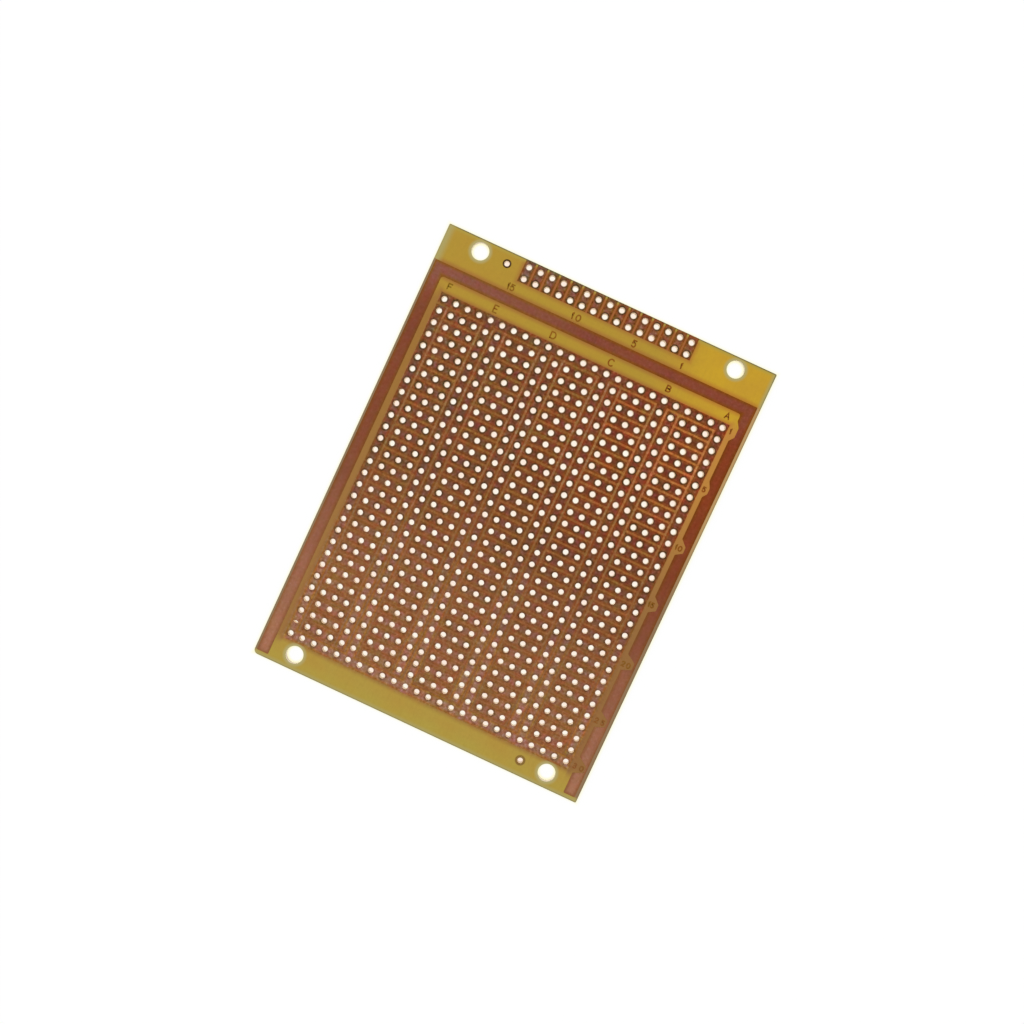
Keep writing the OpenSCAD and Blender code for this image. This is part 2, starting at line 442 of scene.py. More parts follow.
# %% [markdown]
# ## One recipe for every copper
# All the foil is one metal, but a strip, a contact and the guard band aged differently. So one
# function makes the material, and each kind of foil gives it tones of its own and its own way
# to find how deep inside its outline a point lies.


# %% A copper finish around the group
RELIEF = 0.01 * MM


def start_material(name):
    material = bpy.data.materials.new(name)
    material.use_nodes = True
    tree = material.node_tree
    shader = tree.nodes["Principled BSDF"]
    place = tree.nodes.new("ShaderNodeTexCoord").outputs["Object"]
    return material, tree, shader, place


def relief(tree, shader, height, strength):
    bump = tree.nodes.new("ShaderNodeBump")
    bump.inputs["Distance"].default_value = RELIEF
    bump.inputs["Strength"].default_value = strength
    feed(tree, height, bump.inputs["Height"])
    feed(tree, bump.outputs[0], shader.inputs["Normal"])


def colour_from(tree, place, colour):
    """A colour given as three numbers from 0 to 255, or as a function that builds it."""
    return colour(tree, place) if callable(colour) else tone(*colour)


def copper(name, find_depth, rims=1.0, heart=(112, 70, 48), heart_foot=(147, 99, 74),
           edge=(123, 70, 31), edge_foot=(138, 87, 44), warm=(112, 54, 34),
           warm_edge=(127, 63, 22), edge_width=0.8, spots=1.0):
    """Tarnished copper. find_depth(tree, place) gives the millimetres in from the foil's edge."""
    material, tree, shader, place = start_material(name)
    tones = {label: colour_from(tree, place, colour) for label, colour in (
        ("Heart", heart), ("Heart_at_foot", heart_foot), ("Edge", edge),
        ("Edge_at_foot", edge_foot), ("Warm_heart", warm), ("Warm_edge", warm_edge))}
    out = use_group(tree, tarnish, Place=place, Depth=find_depth(tree, place), Rims=rims,
                    Edge_width=edge_width, Spots=spots, **tones)
    feed(tree, out["Colour"], shader.inputs["Base Color"])
    feed(tree, out["Roughness"], shader.inputs["Roughness"])
    shader.inputs["Metallic"].default_value = 0.8
    shader.inputs["Specular IOR Level"].default_value = 0.2
    relief(tree, shader, out["Height"], 0.5)
    return material


print("relief of the finishes:", RELIEF / MM, "mm")

# %% [markdown]
# ## Depth for each kind of land
# A strip joins three holes of one row and repeats over the board, so its depth is found inside
# one repeating cell. A bus is a long bar with teeth: its depth is the larger of the bar's own
# and the tooth's.


# %% Depth functions
def cell_depth(tree, value, centre, half_span, period):
    """Depth inside bars that repeat along one axis; all in grid steps, the result in mm."""
    shifted = calc(tree, "SUBTRACT", value, centre)
    nearest = calc(tree, "MULTIPLY", calc(tree, "ROUND", calc(tree, "DIVIDE", shifted, period)),
                   period)
    away = calc(tree, "ABSOLUTE", calc(tree, "SUBTRACT", shifted, nearest))
    return calc(tree, "MULTIPLY", calc(tree, "SUBTRACT", half_span, away), PITCH / MM)


GROUP_STEP = 5.0
HALF_LAND = LAND / 2 / PITCH
print("half a land:", round(HALF_LAND, 3), "of a grid step")


def strip_depth(tree, place):
    grid = use_group(tree, hole_grid, Place=place)
    return calc(tree, "MINIMUM",
                cell_depth(tree, grid["Column"], 2.0, 1.0 + HALF_LAND, GROUP_STEP),
                cell_depth(tree, grid["Row"], 0.0, HALF_LAND, 1.0))


def comb_depth(tooth_column, bar_low_y, bar_high_y):
    def find(tree, place):
        grid = use_group(tree, hole_grid, Place=place)
        tooth = cell_depth(tree, grid["Column"], tooth_column, HALF_LAND, GROUP_STEP)
        bar = depth_in_bar(tree, place, foot_bus_low.x, bar_low_y, foot_bus_high.x, bar_high_y)
        return calc(tree, "MAXIMUM", tooth, bar)
    return find


contact_low = min(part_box(n)[0].x for n in nodes if n.startswith("contact_"))
contact_high = max(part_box(n)[1].x for n in nodes if n.startswith("contact_"))
contact_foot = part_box("contact_1")[0].y


def contact_depth(tree, place):
    grid = use_group(tree, hole_grid, Place=place)
    ends = depth_in_bar(tree, place, -HALF_WIDTH, contact_foot, HALF_WIDTH, HALF_LENGTH)
    return calc(tree, "MINIMUM", ends, cell_depth(tree, grid["Column"], 0.0, HALF_LAND, 1.0))


# %% [markdown]
# ## The guard band
# The band runs round three sides of the grid and was handled most. It has a purplish bar that
# turns browner down the legs, and paler legs at the plain edge. A tone can be a function, so
# it may change along the band.

# %% The band's depth and tones
band_low, band_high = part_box("guard_band")
BAR_WIDTH, LEG_WIDTH = 2.55 * MM, 2.45 * MM
BAR = (band_low.x, band_high.y - BAR_WIDTH, band_high.x, band_high.y)
LEFT_LEG = (band_low.x, band_low.y, band_low.x + LEG_WIDTH, band_high.y)
RIGHT_LEG = (band_high.x - LEG_WIDTH, band_low.y, band_high.x, band_high.y)
THIN_FOIL_DEPTH = 0.3
print("guard band in mm:", [round(side / MM, 2) for side in (band_high - band_low).xy])


def band_depth(tree, place):
    return chain(tree, "MAXIMUM", *(depth_in_bar(tree, place, *bar)
                                    for bar in (BAR, LEFT_LEG, RIGHT_LEG)))


def thin_depth(tree, place):
    """Rings and letters are narrow, so all of their foil is edge."""
    return THIN_FOIL_DEPTH


def along(axis, start, end, first, second):
    """A tone that goes from first to second while the slow row or column goes on."""
    def find(tree, place):
        where = use_group(tree, slow_change, Place=place)[axis]
        first_tone, second_tone = (colour_from(tree, place, c) for c in (first, second))
        return mix(tree, rise(tree, where, start, end), first_tone, second_tone)
    return find


band_tones = {
    "heart": along("Row", -1.6, 0.6, along("Column", -1.0, 14.0, (128, 76, 60), (120, 68, 49)),
                   (121, 65, 42)),
    "heart_foot": along("Row", 24.0, 32.0, (147, 97, 74), (158, 107, 81)),
    "warm": along("Row", -1.2, 1.0, (128, 65, 45), (126, 57, 29)),
    "edge": along("Row", -1.6, 0.6, (122, 76, 20), (116, 67, 26)),
    "edge_foot": (137, 88, 54),
    "warm_edge": along("Row", -1.6, 0.6, (123, 65, 6), (114, 56, 9))}


def contact_edge(tree, place):
    """Darker and greener where the contacts were sheared off at the board's end."""
    at_end = depth_in_bar(tree, place, -HALF_WIDTH, -HALF_LENGTH, HALF_WIDTH, HALF_LENGTH)
    return mix(tree, rise(tree, at_end, 0.7, 0.2), tone(118, 71, 20), tone(88, 78, 46))


# %% Put the coppers on
def dress(node_name, material):
    mesh_object = nodes[node_name]
    for slot in mesh_object.material_slots:
        slot.material = material
    if not mesh_object.material_slots:
        mesh_object.data.materials.append(material)


strip_copper = copper("strip copper", strip_depth)
comb_tones = {"heart": (109, 67, 46), "heart_foot": (149, 104, 80), "warm": (120, 60, 37),
              "edge_foot": (150, 98, 44)}
first_comb_copper = copper("first row bus copper",
                           comb_depth(4.0, bus_high.y - LAND, bus_high.y), **comb_tones)
last_comb_copper = copper("last row bus copper", comb_depth(
    0.0, foot_bus_low.y, row_y(ROWS - 1) + LAND / 2), **comb_tones)
contact_copper = copper("contact copper", contact_depth,
                        heart=along("Column", 4.0, 8.0, (123, 87, 74), (118, 76, 56)),
                        edge=contact_edge, warm=(132, 81, 55), warm_edge=(124, 66, 12))
band_copper = copper("guard band copper", band_depth, rims=0.0, edge_width=0.9, spots=0.3,
                     **band_tones)
ring_copper = copper("index ring copper", thin_depth, heart=(70, 49, 24), rims=0.0,
                     edge=(66, 46, 22), heart_foot=(136, 106, 52), edge_foot=(132, 102, 50),
                     warm=(76, 50, 20), spots=0.5)
for name in nodes:
    if name.startswith("strips_"):
        dress(name, strip_copper)
    elif name.startswith("contact_"):
        dress(name, contact_copper)
    elif name.startswith("index_ring"):
        dress(name, ring_copper)
dress("first_row_bus", first_comb_copper)
dress("last_row_bus", last_comb_copper)
dress("guard_band", band_copper)
print("coppers:", [m.name for m in bpy.data.materials if "copper" in m.name])

# %% [markdown]
# ## Amber laminate
# In the open margins the sheet shows its own amber. Between the lands, light that enters the
# resin meets copper on all sides, and the gaps read as a dark orange. A translucent shader
# would find that by itself, but it is slow and noisy and other programs drop it. So masks from
# the board's measures do it, each a depth in millimetres inside one of the boxes below.


# %% Boxes that the resin's colour hangs on
def from_mounts(tree, place):
    """Millimetres outward from the edge of the nearest of the four mounting holes."""
    at = axes(tree, place)
    across = calc(tree, "SUBTRACT", calc(tree, "ABSOLUTE", at["X"]), column_x(COLUMNS - 2))
    down = calc(tree, "MINIMUM", *(calc(tree, "ABSOLUTE", calc(tree, "SUBTRACT", at["Y"], y))
                                   for y in (MOUNT_TOP_Y, MOUNT_FOOT_Y)))
    return calc(tree, "DIVIDE", calc(tree, "SUBTRACT", way(tree, across, down),
                                     MOUNT_RADIUS), MM)


laminate, tree, shader, place = start_material("amber laminate")
slow = use_group(tree, slow_change, Place=place)
grid = use_group(tree, hole_grid, Place=place)
spot = axes(tree, place)
grid_high_x = column_x(COLUMNS - 1) + LAND / 2
FAR = 1.0
in_grid = depth_in_bar(tree, place, foot_bus_low.x, foot_bus_low.y, grid_high_x, bus_high.y)
in_bar = depth_in_bar(tree, place, *BAR)
in_columns = depth_in_bar(tree, place, foot_bus_low.x, -FAR, grid_high_x, FAR)
in_legs = depth_in_bar(tree, place, band_low.x, -FAR, band_high.x, FAR)
in_leg_rows = depth_in_bar(tree, place, -FAR, band_low.y, FAR, band_high.y)
in_width = depth_in_bar(tree, place, -HALF_WIDTH, -FAR, HALF_WIDTH, FAR)
in_length = depth_in_bar(tree, place, -FAR, -HALF_LENGTH, FAR, HALF_LENGTH)
in_sheet = calc(tree, "MINIMUM", in_width, in_length)
in_contacts = depth_in_bar(tree, place, contact_low, contact_foot, contact_high,
                           HALF_LENGTH + LAND)
print("contacts span in mm:", round((contact_high - contact_low) / MM, 2))

# %% [markdown]
# ## Open resin, and the halo beside foil
# The margins show the resin's own amber. Within a millimetre of foil it is more orange, as
# part of the light that comes out there has passed under copper. The narrow strips between the
# grid and the band's legs are darker all over, for the same reason.

# %% Margins and side strips
HALO_REACH = 1.1
on_right = rise(tree, slow["Column"], 11.0, 13.0)
margin = mix(tree, slow["Foot"], mix(
    tree, rise(tree, slow["Column"], 16.0, 22.0), tone(178, 144, 43), tone(202, 160, 34)),
    tone(177, 149, 61))
margin = mix(tree, rise(tree, slow["Cloud"], 0.35, 0.7, 0.0, 0.3), margin, tone(184, 134, 46))
halo = chain(tree, "MAXIMUM", calc(
    tree, "MULTIPLY", rise(tree, in_grid, -HALO_REACH, 0.1),
    rise(tree, slow["Foot"], 0.0, 0.5, 1.0, 0.0)), rise(tree, in_bar, -HALO_REACH, 0.1),
    rise(tree, in_contacts, -HALO_REACH, 0.0, 0.0, 0.75))
margin = mix(tree, halo, margin, (0.82, 0.57, 1.0, 1.0), "MULTIPLY")
beside = mix(tree, on_right, mix(
    tree, rise(tree, slow["Row"], 2.0, 22.0), tone(158, 111, 45), tone(157, 112, 56)), mix(
    tree, rise(tree, slow["Row"], 20.0, 1.0), tone(149, 104, 54), tone(192, 132, 55)))
beside_share = chain(tree, "MULTIPLY", rise(tree, in_columns, 0.2, -0.2),
                     rise(tree, grid["Row"], -1.4, 0.4), rise(tree, grid["Row"], 30.4, 29.2))
print("halo beside foil:", HALO_REACH, "mm wide")

# %% [markdown]
# ## Gaps between the lands
# The short gaps between strips are the darkest. The long gaps down the columns are a little
# paler, most of all half-way between two rows. Both turn orange in the warm corner, and both
# carry the same mottle as the copper.

# %% Gaps
to_contacts = rise(tree, slow["Row"], 16.0, 1.0)
gap = mix(tree, calc(tree, "MULTIPLY", rise(tree, slow["Column"], 11.0, 24.0), to_contacts), mix(
    tree, slow["Foot"], tone(144, 87, 35), tone(147, 92, 50)), tone(184, 106, 44))
long_gap_head = mix(tree, rise(tree, slow["Row"], 7.0, 13.0), tone(154, 105, 63),
                    tone(141, 93, 50))
long_gap_foot = mix(tree, rise(tree, slow["Column"], 0.0, 12.0), tone(150, 105, 70),
                    tone(140, 94, 53))
long_gap = mix(tree, calc(tree, "MULTIPLY", rise(tree, slow["Column"], 14.5, 23.0), to_contacts),
               mix(tree, slow["Foot"], long_gap_head, long_gap_foot), tone(186, 113, 60))
LONG_GAPS, HALF_LONG_GAP = (0.5, 3.5, 4.5), 0.11
in_long_gap = chain(tree, "MAXIMUM", *(
    cell_depth(tree, grid["Column"], centre, HALF_LONG_GAP, GROUP_STEP) for centre in LONG_GAPS))
beside_land = rise(tree, cell_depth(tree, grid["Row"], 0.0, 0.5, 1.0), 0.1, 0.8, 0.35, 1.0)
gaps = mix(tree, calc(tree, "MULTIPLY", beside_land, rise(tree, in_long_gap, -0.05, 0.08)),
           gap, long_gap)
patches = noise(tree, place, 330.0, 2.0, 0.6)
for low, high, tint in ((0.50, 0.72, (1.22, 0.98, 0.70)), (0.50, 0.28, (0.80, 0.94, 0.92))):
    gaps = mix(tree, rise(tree, patches, low, high, 0.0, 0.4), gaps, (*tint, 1.0), "MULTIPLY")
gaps = use_group(tree, mottle, Place=place, Colour=gaps, Grains=0.8, Blots=0.8)["Colour"]
print("long gaps beside columns", LONG_GAPS, "of each group")

# %% [markdown]
# ## Lay the regions over each other
# Each region is a layer over the one before, with a soft mask for its outline. Towards the
# plain edge the grid's outline is worn, so its mask grows wider there. Last come the weave of
# the sheet and its fine grain.

# %% Layers of the resin's colour
worn = slow["Foot"]
colour = mix(tree, beside_share, margin, beside)
colour = mix(tree, rise(tree, in_contacts, -0.2, 0.05), colour, tone(161, 94, 43))
colour = mix(tree, rise(tree, in_grid, rise(tree, worn, 0.0, 1.0, -0.25, -1.2),
                        rise(tree, worn, 0.0, 1.0, 0.05, 0.6)), colour, gaps)
fibre = noise(tree, place, 700.0, 3.0, 0.6, (3.0, 0.35, 1.0))
colour = mix(tree, rise(tree, fibre, 0.45, 0.8, 0.0, 0.1), colour, tone(140, 104, 40))
grain = noise(tree, place, 1500.0, 2.0, 0.6)
colour = mix(tree, rise(tree, grain, 0.3, 0.7), colour, (1.04, 1.04, 1.06, 1.0), "MULTIPLY")
print("nodes so far:", len(tree.nodes))

# %% [markdown]
# ## Where it was sheared or bored
# Along the sheared ends and round the mounting holes the resin is painted paler for about a
# millimetre: painted light along the cut. A thin dark line follows the outline: a small burr,
# darkened by painted shade that is stronger on some sides than others. The ring by the plain
# edge sits in a band of painted brown shade.

# %% Pale bruises, burr and stain
# Painted light: the resin is paler near the sheared ends and sides.
EDGE_LIGHT, EDGE_LIGHT_REACH = tone(176, 162, 96), 1.1
from_left = calc(tree, "ADD", spot["X"], HALF_WIDTH)
lit_side = calc(tree, "MAXIMUM", rise(tree, in_width, EDGE_LIGHT_REACH, 0.1), calc(
    tree, "MULTIPLY", rise(tree, from_left, 2.0 * MM, 0.3 * MM),
    rise(tree, spot["Y"], band_high.y - MM, band_high.y)))
lit_end_tone = mix(tree, rise(tree, spot["Y"], -MM, MM), EDGE_LIGHT, tone(179, 156, 62))
near_foot = calc(tree, "MULTIPLY", rise(tree, in_length, 3.5, 1.2),
                 rise(tree, spot["Y"], 0.0, -MM))
colour = mix(tree, near_foot, colour, (0.99, 1.07, 1.02, 1.0), "MULTIPLY")
colour = mix(tree, rise(tree, in_length, EDGE_LIGHT_REACH, 0.1), colour, lit_end_tone)
colour = mix(tree, calc(tree, "MULTIPLY", lit_side, rise(tree, in_leg_rows, 0.1, -0.2)),
             colour, EDGE_LIGHT)
# Painted light round the mounting holes, as along the sheared ends.
colour = mix(tree, rise(tree, from_mounts(tree, place), 0.9, 0.1), colour, tone(181, 168, 109))
side_strip = mix(tree, on_right, tone(146, 120, 88), mix(
    tree, rise(tree, slow["Row"], 17.0, 7.0), tone(148, 117, 84), tone(191, 153, 100)))
colour = mix(tree, calc(tree, "MULTIPLY", rise(tree, in_legs, 0.05, -0.05),
                        rise(tree, in_leg_rows, -0.3, 0.3)), colour, side_strip)
# Painted shade on a small burr: a thin dark line along the outline, stronger at the top and
# weaker at the left.
burr_shade = chain(tree, "MULTIPLY",
             rise(tree, spot["Y"], HALF_LENGTH - 3 * MM, HALF_LENGTH, 0.5, 0.9),
             rise(tree, from_left, 0.0, 3 * MM, 0.35, 1.0), rise(tree, in_sheet, 0.34, 0.06))
colour = mix(tree, burr_shade, colour, tone(104, 92, 54))
# Painted shade: a darker brown band round the ring by the plain edge.
ring_low, ring_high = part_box("index_ring_foot")
ring_shade_at = ((ring_low + ring_high) / 2).xy
from_ring_shade = way(tree, *(calc(tree, "SUBTRACT", spot[axis], centre)
                         for axis, centre in zip("XY", ring_shade_at)))
colour = mix(tree, rise(tree, from_ring_shade, 1.15 * MM, 0.95 * MM), colour, tone(137, 103, 44))
print("stain round the ring at, in mm:", [round(value / MM, 2) for value in ring_shade_at])

# %% [markdown]
# ## Cut sides and hole walls
# A cut side shows the layers of the sheet as fine lines, and fibres across them. A hole's
# wall looks far paler, because light reaches it from the resin all round.

# %% Cut sides and hole walls
LAYER = 0.2 * MM
facing = axes(tree, tree.nodes.new("ShaderNodeNewGeometry").outputs["Normal"])
upright = rise(tree, calc(tree, "ABSOLUTE", facing["Z"]), 0.7, 0.3)
layers = calc(tree, "SINE", calc(tree, "MULTIPLY", spot["Z"], 2 * math.pi / LAYER))
cut_side = mix(tree, rise(tree, layers, -1.0, 1.0), tone(120, 92, 44), tone(150, 120, 62))
cut_side = mix(tree, rise(tree, fibre, 0.4, 0.7), cut_side, tone(104, 78, 38))
in_hole = rise(tree, in_sheet, 0.35, 0.5)
blocked = at_blocked_hole(tree, grid)
cut_side = mix(tree, in_hole, cut_side, mix(tree, blocked, tone(250, 235, 211),
                                            tone(240, 222, 196)))
print("layers in the sheet:", round(SHEET_TOP / LAYER))

# %% [markdown]
# ## The plain underside
# The component side carries no foil and no print. It is the bare sheet: cloudy amber, fibres,
# and a pale bruise round each hole, where the punch broke through.

# %% Underside
BRUISE_REACH = 0.4
underside = mix(tree, rise(tree, slow["Cloud"], 0.25, 0.75), tone(166, 124, 50),
                tone(184, 141, 58))
underside = mix(tree, rise(tree, fibre, 0.35, 0.75, 0.0, 0.45), underside, tone(139, 99, 42))
underside = mix(tree, rise(tree, grain, 0.3, 0.7), underside, (1.12, 1.12, 1.14, 1.0), "MULTIPLY")
hole_fields = [depth_in_bar(tree, place, column_x(low), row_y(foot), column_x(high), row_y(top))
               for low, foot, high, top in ((-0.5, ROWS - 0.5, COLUMNS - 0.5, -0.5),
                                            (4.5, -3.5, 19.5, -5.5))]
punched = calc(tree, "MULTIPLY", rise(tree, calc(tree, "MAXIMUM", *hole_fields), -0.1, 0.1),
               rise(tree, grid["Hole distance"], HOLE_RADIUS / MM + BRUISE_REACH,
                    HOLE_RADIUS / MM + 0.05, 0.0, 0.6))
underside = mix(tree, punched, underside, tone(204, 174, 104))
colour = mix(tree, rise(tree, facing["Z"], -0.5, -0.9), colour, underside)
colour = mix(tree, upright, colour, cut_side)
print("bruise round a hole:", BRUISE_REACH, "mm wide")

# %% [markdown]
# ## Light inside the small holes
# In a hole as narrow as the sheet is thick, the walls are lit mostly through the resin, so
# they are given a faint painted glow of their own. Daylight is enough in the wide mounting holes.

# %% Glow of the hole walls, and the last sockets
WALL_GLOW = 0.7
DARK = tone(0, 0, 0)
painted_wall_glow = mix(tree, blocked, tone(84, 72, 54), tone(126, 114, 90))
painted_wall_glow = mix(tree, rise(tree, from_mounts(tree, place), 0.2, 0.3), DARK, painted_wall_glow)
painted_wall_glow = mix(tree, calc(tree, "MULTIPLY", in_hole, upright), DARK, painted_wall_glow)
feed(tree, painted_wall_glow, shader.inputs["Emission Color"])
shader.inputs["Emission Strength"].default_value = WALL_GLOW
laminate.cycles.emission_sampling = "NONE"
feed(tree, colour, shader.inputs["Base Color"])
feed(tree, rise(tree, fibre, 0.3, 0.8, 0.32, 0.48), shader.inputs["Roughness"])
shader.inputs["Specular IOR Level"].default_value = 0.2
relief(tree, shader, fibre, 0.4)
dress("laminate", laminate)
print("laminate dressed; nodes in its tree:", len(tree.nodes))

# %% [markdown]
# ## Etched letters and numbers
# The index letters and numbers were drawn with a stencil pen, so every stroke has one width
# and round ends. Each character is a few strokes, one unit high, and each stroke becomes a flat
# ribbon of foil. A bar that meets a stem stops at the stem's side, so no two ribbons overlap.

# %% Stroke letters
STROKE = 0.27
STROKE_FOIL = FOIL_TOP / MM - 0.002
SAME_POINT = 1e-6
CAP_TURN = math.pi / 6


def arc(cx, cy, rx, ry, start, end, steps=14):
    """Points on part of an ellipse; angles in degrees, anticlockwise from the right."""
    turn = [math.radians(start + (end - start) * i / steps) for i in range(steps + 1)]
    return [(cx + rx * math.cos(t), cy + ry * math.sin(t)) for t in turn]


CHARACTERS = {
    "A": (0.75, [[(0, 0), (0.375, 1), (0.75, 0)], [(0.19, 0.34), (0.56, 0.34)]]),
    "B": (0.68, [[(0, 0), (0, 1), (0.4, 1)] + arc(0.4, 0.76, 0.24, 0.24, 90, -90, 8)[1:]
                 + [(0.11, 0.52)],
                 [(0.36, 0.52)] + arc(0.4, 0.26, 0.28, 0.26, 60, -90, 8)[1:]
                 + [(0.11, 0)]]),
    "C": (0.78, [arc(0.42, 0.5, 0.42, 0.5, 48, 312, 18)]),
    "D": (0.80, [[(0, 0), (0, 1), (0.42, 1)] + arc(0.42, 0.5, 0.38, 0.5, 90, -90, 14)[1:]
                 + [(0.11, 0)]]),
    "E": (0.52, [[(0.52, 1), (0, 1), (0, 0), (0.52, 0)], [(0.11, 0.52), (0.42, 0.52)]]),
    "F": (0.62, [[(0.62, 1), (0, 1), (0, 0)], [(0.12, 0.5), (0.48, 0.5)]]),
    "0": (0.7, [arc(0.35, 0.5, 0.35, 0.5, 90, 450, 24)]),
    "1": (0.14, [[(0, 0.88), (0.14, 1), (0.14, 0)]]),
    "2": (0.58, [arc(0.29, 0.72, 0.28, 0.28, 170, -35, 12) + [(0, 0), (0.58, 0)]]),
    "3": (0.55, [arc(0.26, 0.75, 0.24, 0.25, 150, -90, 12)
                 + arc(0.26, 0.25, 0.28, 0.25, 90, -150, 14)[1:]]),
    "5": (0.56, [[(0.52, 1), (0.08, 1), (0.03, 0.56)]
                 + arc(0.27, 0.33, 0.29, 0.33, 125, -145, 16)]),
}
print("characters drawn:", " ".join(CHARACTERS))


def ribbon(shape, points, width, low_z, high_z, closed):
    """Add a flat bar that follows the points to a bmesh, with round ends if it is open."""
    points = [Vector(p) for p in points]
    if closed:
        points = points[:-1]
    count, half = len(points), width / 2
    left_side, right_side = [], []
    for i, point in enumerate(points):
        before = points[i - 1] if i or closed else None
        after = points[(i + 1) % count] if i < count - 1 or closed else None
        directions = [(b - a).normalized() for a, b in ((before, point), (point, after))
                      if a is not None and b is not None]
        heading = sum(directions, Vector((0, 0))).normalized()
        aside = Vector((-heading.y, heading.x))
        reach = half / max(0.5, abs(aside.dot(Vector((-directions[0].y, directions[0].x)))))
        left_side.append(point + aside * reach)
        right_side.append(point - aside * reach)
    if closed:
        rims = [[(shape.verts.new((*p, low_z)), shape.verts.new((*p, high_z))) for p in side]
                for side in (left_side, right_side)]
        for i in range(count):
            (la, ha), (lb, hb) = rims[0][i], rims[0][(i + 1) % count]
            (lc, hc), (ld, hd) = rims[1][i], rims[1][(i + 1) % count]
            for face in ((ha, hb, hd, hc), (lb, la, lc, ld), (hb, ha, la, lb), (hc, hd, ld, lc)):
                shape.faces.new(face)
        return
    caps = []
    for end, inner in ((0, 1), (count - 1, count - 2)):
        out = (points[end] - points[inner]).normalized()
        first = math.atan2(out.y, out.x) + math.pi / 2
        caps.append([points[end] + half * Vector((math.cos(first - k * CAP_TURN),
                                                  math.sin(first - k * CAP_TURN)))
                     for k in range(1, 6)])
    outline = right_side[::-1] + caps[0] + left_side + caps[1]
    top = [shape.verts.new((*p, high_z)) for p in outline]
    bottom = [shape.verts.new((*p, low_z)) for p in outline]
    shape.faces.new(top)
    shape.faces.new(bottom[::-1])
    for i in range(len(outline)):
        j = (i + 1) % len(outline)
        shape.faces.new((top[j], top[i], bottom[i], bottom[j]))


# %% [markdown]
# ## Where each mark goes
# The column letters stand above the first bus, the contact numbers above the guard band, and
# the row numbers in the pockets of the right leg, at every fifth row. They were lettered by
# hand, so sizes and spaces differ: each mark below has its own place and height.

# %% Write the marks
mark_copper = copper("lettering copper", thin_depth, rims=0.0, heart=(132, 91, 24),
                     heart_foot=(134, 86, 42), edge=(126, 87, 22), edge_foot=(130, 83, 40),
                     warm=(146, 92, 12), spots=0.5)


def object_from(name, shape):
    """Turn a bmesh into a mesh object in the scene."""
    mesh = bpy.data.meshes.new(name)
    shape.to_mesh(mesh)
    shape.free()
    return place_in_scene(name, mesh)


def write_mark(name, text, columns, foot_row, height):
    """A word of foil strokes: each character's column, the row its foot is at, and its height
    in millimetres. It is built in millimetres, then shrunk into its place."""
    shape = bmesh.new()
    for character, at in zip(text, columns):
        width, strokes = CHARACTERS[character]
        for stroke in strokes:
            placed = [((x - width / 2) * height + (column_x(at) - column_x(columns[0])) / MM,
                       y * height) for x, y in stroke]
            closed = (Vector(placed[0]) - Vector(placed[-1])).length < SAME_POINT
            ribbon(shape, placed, STROKE, SHEET_TOP / MM, STROKE_FOIL, closed)
    bmesh.ops.recalc_face_normals(shape, faces=shape.faces)
    bmesh.ops.triangulate(shape, faces=[f for f in shape.faces if len(f.verts) > 4])
    bmesh.ops.transform(shape, verts=shape.verts, matrix=Matrix.Translation(
        (column_x(columns[0]), row_y(foot_row), 0)) @ Matrix.Scale(MM, 4))
    mark = object_from(name, shape)
    mark.data.materials.append(mark_copper)
    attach(mark, "root")
    return mark


marks = [write_mark("letter_" + letter, letter, (at,), foot_row, height)
         for letter, at, foot_row, height in (
             ("F", -0.02, -0.81, 1.15), ("E", 3.98, -0.68, 1.46), ("D", 8.95, -0.73, 1.3),
             ("C", 13.95, -0.70, 1.35), ("B", 18.89, -0.75, 1.2), ("A", 23.96, -0.79, 1.15))]
marks += [write_mark("contact_number_" + number, number, columns, foot_row, height)
          for number, columns, foot_row, height in (
              ("15", (4.12, 4.47), -2.79, 1.2), ("10", (9.66, 10.16), -2.79, 1.22),
              ("5", (14.96,), -2.79, 1.3), ("1", (19.03,), -2.82, 1.05))]
marks += [write_mark("row_number_" + number, number, columns, foot_row, 0.95)
          for number, columns, foot_row in (
              ("1", (24.69,), 0.18), ("5", (24.74,), 5.16), ("10", (24.68, 25.02), 10.16),
              ("15", (24.66, 24.94), 15.12), ("20", (24.82, 25.26), 20.24),
              ("25", (24.82, 25.33), 25.19), ("30", (24.79, 25.36), 29.19))]
print("marks:", len(marks), "faces:", sum(len(m.data.polygons) for m in marks))

# %% [markdown]
# ## The ground
# A plain white ground keeps attention on the board. It is a flat grid of faces just below the
# sheet, wide enough to fill every view. It belongs to the studio.

# %% Lay the ground
FLOOR_SIZE = 3.0
FLOOR_DROP = 0.02 * MM

ground_shape = bmesh.new()
bmesh.ops.create_grid(ground_shape, x_segments=8, y_segments=8, size=FLOOR_SIZE / 2)
floor = object_from("floor", ground_shape)
floor.location.z = -FLOOR_DROP
print("ground:", FLOOR_SIZE, "m wide")

# %% [markdown]
# ## White without more light
# Lamps that burned the ground to white would burn the board too. So the ground looks white to
# the camera by itself, and only a small share of it is real paint that takes the shadow. Seen
# through the small holes it looks cream, because light comes back up a narrow hole past amber
# walls. The mounting holes are wide and stay white. Paint is never quite white, and the glow
# makes up for that.

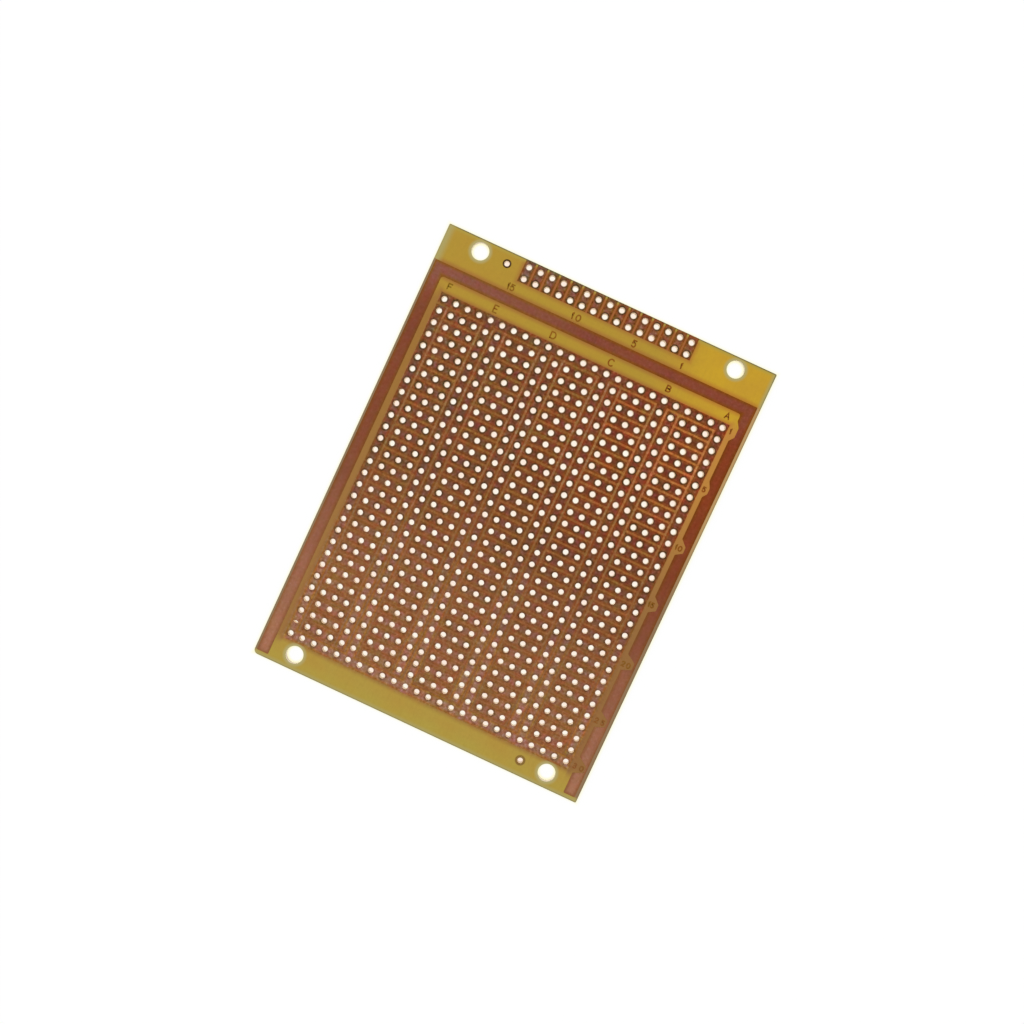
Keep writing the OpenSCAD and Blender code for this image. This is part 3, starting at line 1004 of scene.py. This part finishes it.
# %% Paint and glow
GLOW_STRENGTH = 1.015
paper, tree, shader, place = start_material("white paper ground")
shader.inputs["Roughness"].default_value = 0.9
shader.inputs["Specular IOR Level"].default_value = 0.0
feed(tree, mix(tree, noise(tree, place, 300.0), tone(238, 238, 238), tone(244, 244, 244)),
     shader.inputs["Base Color"])
small_holes = [
    depth_in_bar(tree, place, column_x(-0.4), row_y(ROWS - 0.6), column_x(COLUMNS - 0.6),
                 row_y(-0.4)),
    depth_in_bar(tree, place, column_x(2.6), -HALF_LENGTH + 1.5 * MM, column_x(21.4),
                 HALF_LENGTH - 0.5 * MM)]
white = tone(255, 255, 255)
cream = mix(tree, rise(tree, noise(tree, place, 220.0, 2.0, 0.6), 0.35, 0.65),
            tone(255, 236, 221), tone(255, 250, 237))
# Painted light: round and under the board the ground is a pale yellow, as if the amber edge threw
# light onto the paper. Inside the mounting holes it stays white.
in_outline = depth_in_bar(tree, place, -HALF_WIDTH, -HALF_LENGTH, HALF_WIDTH, HALF_LENGTH)
below_board = mix(tree, rise(tree, from_mounts(tree, place), -0.7, 0.0), white,
                  tone(255, 250, 205))
ground = mix(tree, rise(tree, in_outline, -0.95, 0.15), white, tone(255, 252, 214))
ground = mix(tree, rise(tree, in_outline, 0.15, 0.3), ground, below_board)
glow = tree.nodes.new("ShaderNodeEmission")
feed(tree, mix(tree, rise(tree, calc(tree, "MAXIMUM", *small_holes), -0.1, 0.1), ground, cream),
     glow.inputs["Color"])
glow.inputs["Strength"].default_value = GLOW_STRENGTH
print("nodes in the ground's tree:", len(tree.nodes))

# %% [markdown]
# ## A ground with one side
# The underside has to be open to view without moving anything. So the ground vanishes for a
# camera below it, and for light that leaves the underside and meets it at once.

# %% Share out the rays
FLOOR_GLOW = 0.95
AT_ONCE = 0.1 * MM


def ray_is_looking(tree):
    """1 for rays from the camera, in a mirror or through glass; 0 for light on surfaces."""
    path = tree.nodes.new("ShaderNodeLightPath").outputs
    return chain(tree, "MAXIMUM", path["Is Glossy Ray"], path["Is Transmission Ray"],
                 path["Is Camera Ray"])


def mix_shaders(tree, share, first, second):
    node = tree.nodes.new("ShaderNodeMixShader")
    for value, socket in zip((share, first, second), node.inputs):
        feed(tree, value, socket)
    return node.outputs[0]


from_below = tree.nodes.new("ShaderNodeNewGeometry").outputs["Backfacing"]
ray_length = tree.nodes.new("ShaderNodeLightPath").outputs["Ray Length"]
vanish = calc(tree, "MAXIMUM", from_below, calc(tree, "LESS_THAN", ray_length, AT_ONCE))
from_above = mix_shaders(tree, calc(tree, "MULTIPLY", ray_is_looking(tree), FLOOR_GLOW),
                         shader.outputs[0], glow.outputs[0])
nothing = tree.nodes.new("ShaderNodeBsdfTransparent").outputs[0]
feed(tree, mix_shaders(tree, vanish, from_above, nothing),
     tree.nodes["Material Output"].inputs["Surface"])
floor.data.materials.append(paper)
print("share of the ground that glows:", FLOOR_GLOW)

# %% [markdown]
# ## Sky and lamps
# The sky is white to look at and dimmer as a light. Two large softboxes give even light: the
# key from the upper left, and a weaker fill opposite to it.

# %% World and lamps
SKY_ON_SURFACES = 0.6
world = bpy.data.worlds.new("white studio")
bpy.context.scene.world = world
world.use_nodes = True
sky = world.node_tree
sky.nodes["Background"].inputs["Color"].default_value = (1, 1, 1, 1)
feed(sky, rise(sky, ray_is_looking(sky), 0.0, 1.0, SKY_ON_SURFACES, 1.0),
     sky.nodes["Background"].inputs["Strength"])


def softbox(name, location, size, watts):
    lamp = place_in_scene(name, bpy.data.lights.new(name, "AREA"))
    lamp.data.shape, lamp.data.size, lamp.data.energy = "SQUARE", size, watts
    lamp.location = location
    lamp.rotation_mode = "QUATERNION"
    lamp.rotation_quaternion = Vector(location).to_track_quat("Z", "Y")


softbox("key softbox", (-0.6, 0.35, 0.8), 0.7, 3.9)
softbox("fill softbox", (0.7, -0.4, 0.7), 0.8, 1.9)

scene = bpy.context.scene
scene.view_settings.view_transform = "Standard"
